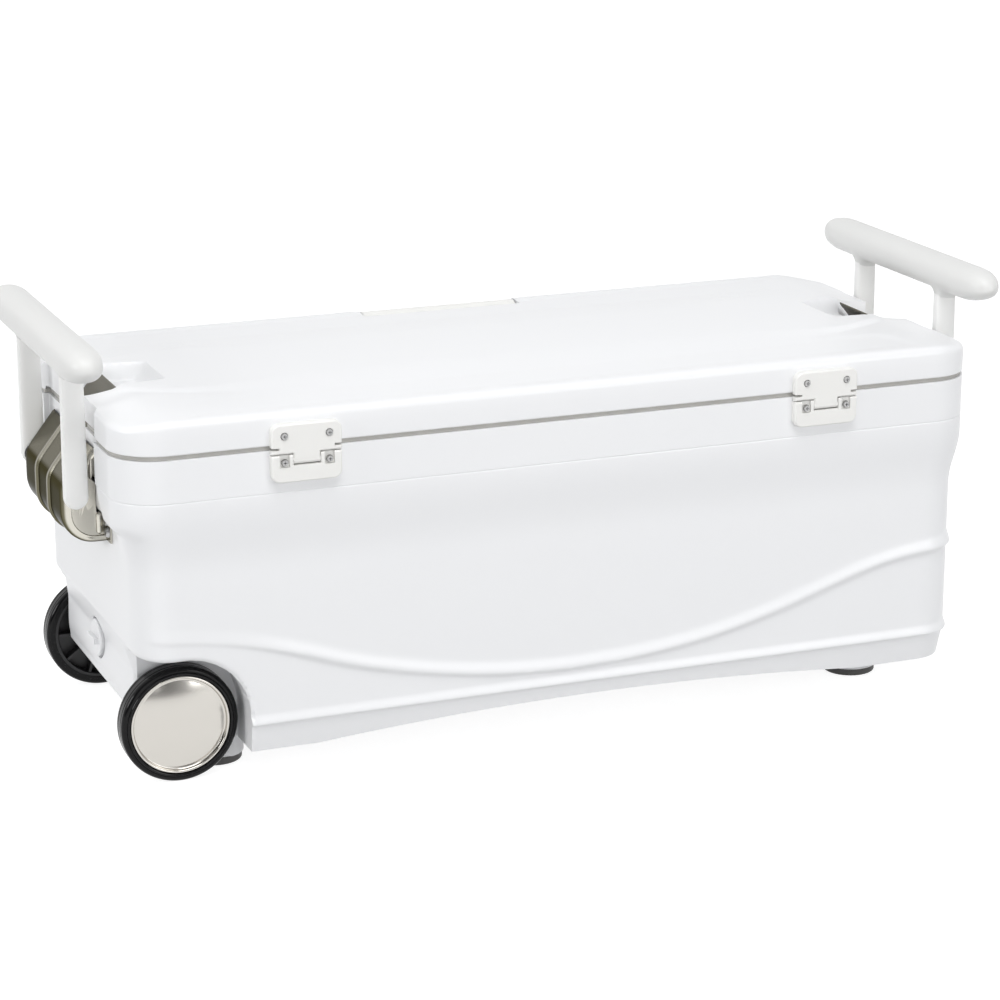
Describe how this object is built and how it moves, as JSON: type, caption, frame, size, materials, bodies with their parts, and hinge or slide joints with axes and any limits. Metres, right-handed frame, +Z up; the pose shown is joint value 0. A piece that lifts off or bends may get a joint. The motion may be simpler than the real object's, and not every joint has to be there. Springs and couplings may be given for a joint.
{
  "type": "wheeled cooler",
  "caption": "Long white insulated cooler with a hinged lid, fold-down T handles at both ends, rear wheels, rubber feet, latch and drain.",
  "frame": {"origin": "centre of the footprint on the ground", "axes": "+X along the length towards the end without wheels, -Y hinge side, +Y latch side, +Z up"},
  "size_m": [1.05, 0.422, 0.4595],
  "materials": {
    "cooler_white": "smooth moulded white, soft gloss",
    "hinge_white": "moulded warm white, soft gloss",
    "handle_white": "moulded white, satin",
    "liner_white": "smooth white, easy to wipe",
    "foam": "rigid insulating foam",
    "seal_rubber": "dark rubber",
    "tyre_black": "black rubber, soft sheen",
    "hub_black": "black moulded plastic",
    "stainless": "satin stainless sheet",
    "fastener_steel": "zinc-bright steel"
  },
  "bodies": {
    "chest": {"body_shell": "cooler_white", "rim_frame": "cooler_white", "inner_liner": "liner_white", "insulation_core": "foam", "hinge_body_leaf_rear": "hinge_white", "hinge_body_leaf_front": "hinge_white", "hinge_pins": "fastener_steel", "hinge_body_screws": "fastener_steel", "bracket_front": "stainless", "bracket_rear": "stainless", "bracket_bolts_front": "fastener_steel", "bracket_bolts_rear": "fastener_steel", "handle_pivots_front": "fastener_steel", "handle_pivots_rear": "fastener_steel", "handle_washers_front": "hub_black", "handle_washers_rear": "hub_black", "axle": "fastener_steel", "axle_sleeve": "hub_black", "axle_spacers": "hub_black", "axle_clips": "fastener_steel", "foot_bosses": "cooler_white", "foot_pads": "seal_rubber", "foot_screws": "fastener_steel", "drain_tube": "hinge_white", "latch_keeper": "stainless", "keeper_screws": "fastener_steel"},
    "lid": {"lid_cover": "cooler_white", "lid_inner": "liner_white", "lid_foam": "foam", "lid_gasket": "seal_rubber", "hinge_lid_leaf_rear": "hinge_white", "hinge_lid_leaf_front": "hinge_white", "hinge_lid_screws": "fastener_steel", "latch_pin": "fastener_steel"},
    "latch": {"latch_lever": "hinge_white"},
    "handle_front": {"handle_grip_front": "handle_white", "handle_legs_front": "handle_white"},
    "handle_rear": {"handle_grip_rear": "handle_white", "handle_legs_rear": "handle_white"},
    "wheel_hinge_side": {"wheel_tyre_hinge_side": "tyre_black", "wheel_hub_hinge_side": "hub_black", "hubcap_hinge_side": "stainless"},
    "wheel_latch_side": {"wheel_tyre_latch_side": "tyre_black", "wheel_hub_latch_side": "hub_black", "hubcap_latch_side": "stainless"},
    "drain": {"drain_plug": "hinge_white", "drain_gasket": "seal_rubber"}
  },
  "joints": [
    {"name": "lid_hinge", "type": "hinge", "parent": "chest", "child": "lid", "pos_m": [0, -0.2072, 0.339], "axis": [1, 0, 0], "range_deg": [0, 100]},
    {"name": "latch_swing", "type": "hinge", "parent": "lid", "child": "latch", "pos_m": [0, 0.191, 0.371], "axis": [1, 0, 0], "range_deg": [0, 50]},
    {"name": "handle_front_fold", "type": "hinge", "parent": "chest", "child": "handle_front", "pos_m": [0.497, 0, 0.291], "axis": [0, 1, 0], "range_deg": [0, 165]},
    {"name": "handle_rear_fold", "type": "hinge", "parent": "chest", "child": "handle_rear", "pos_m": [-0.497, 0, 0.291], "axis": [0, -1, 0], "range_deg": [0, 165]},
    {"name": "wheel_hinge_side_spin", "type": "hinge", "parent": "chest", "child": "wheel_hinge_side", "pos_m": [-0.4165, -0.1585, 0.0615], "axis": [0, 1, 0], "continuous": true},
    {"name": "wheel_latch_side_spin", "type": "hinge", "parent": "chest", "child": "wheel_latch_side", "pos_m": [-0.4165, 0.1585, 0.0615], "axis": [0, 1, 0], "continuous": true},
    {"name": "drain_turn", "type": "hinge", "parent": "chest", "child": "drain", "pos_m": [-0.456, 0, 0.107], "axis": [-1, 0, 0], "range_deg": [0, 180]}
  ]
}
